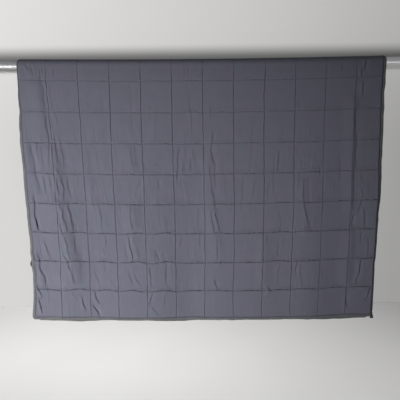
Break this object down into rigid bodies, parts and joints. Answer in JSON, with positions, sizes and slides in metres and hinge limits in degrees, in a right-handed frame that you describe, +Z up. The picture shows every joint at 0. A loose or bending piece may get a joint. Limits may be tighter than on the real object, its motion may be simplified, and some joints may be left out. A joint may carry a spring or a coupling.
{
  "type": "weighted blanket on a hanging rod",
  "caption": "Quilted weighted blanket in slate blue-grey cotton with a bound edge, folded over a round metal rod and hanging down both sides of it.",
  "frame": {"origin": "centre of the rod's left end face", "axes": "+X along the rod towards its right end, -Y the blanket's front, +Z up"},
  "size_m": [1.5, 0.0628, 0.9164],
  "materials": {
    "rod_metal": "satin",
    "quilt_cotton": "matte woven cotton",
    "binding_tape": "matte woven tape",
    "dark_tape": "matte woven tape",
    "loop_tape": "matte woven tape"
  },
  "bodies": {
    "root": {"rod": "rod_metal", "quilt": "quilt_cotton", "binding": "binding_tape", "side_tab": "dark_tape", "corner_tab": "loop_tape"}
  },
  "joints": []
}
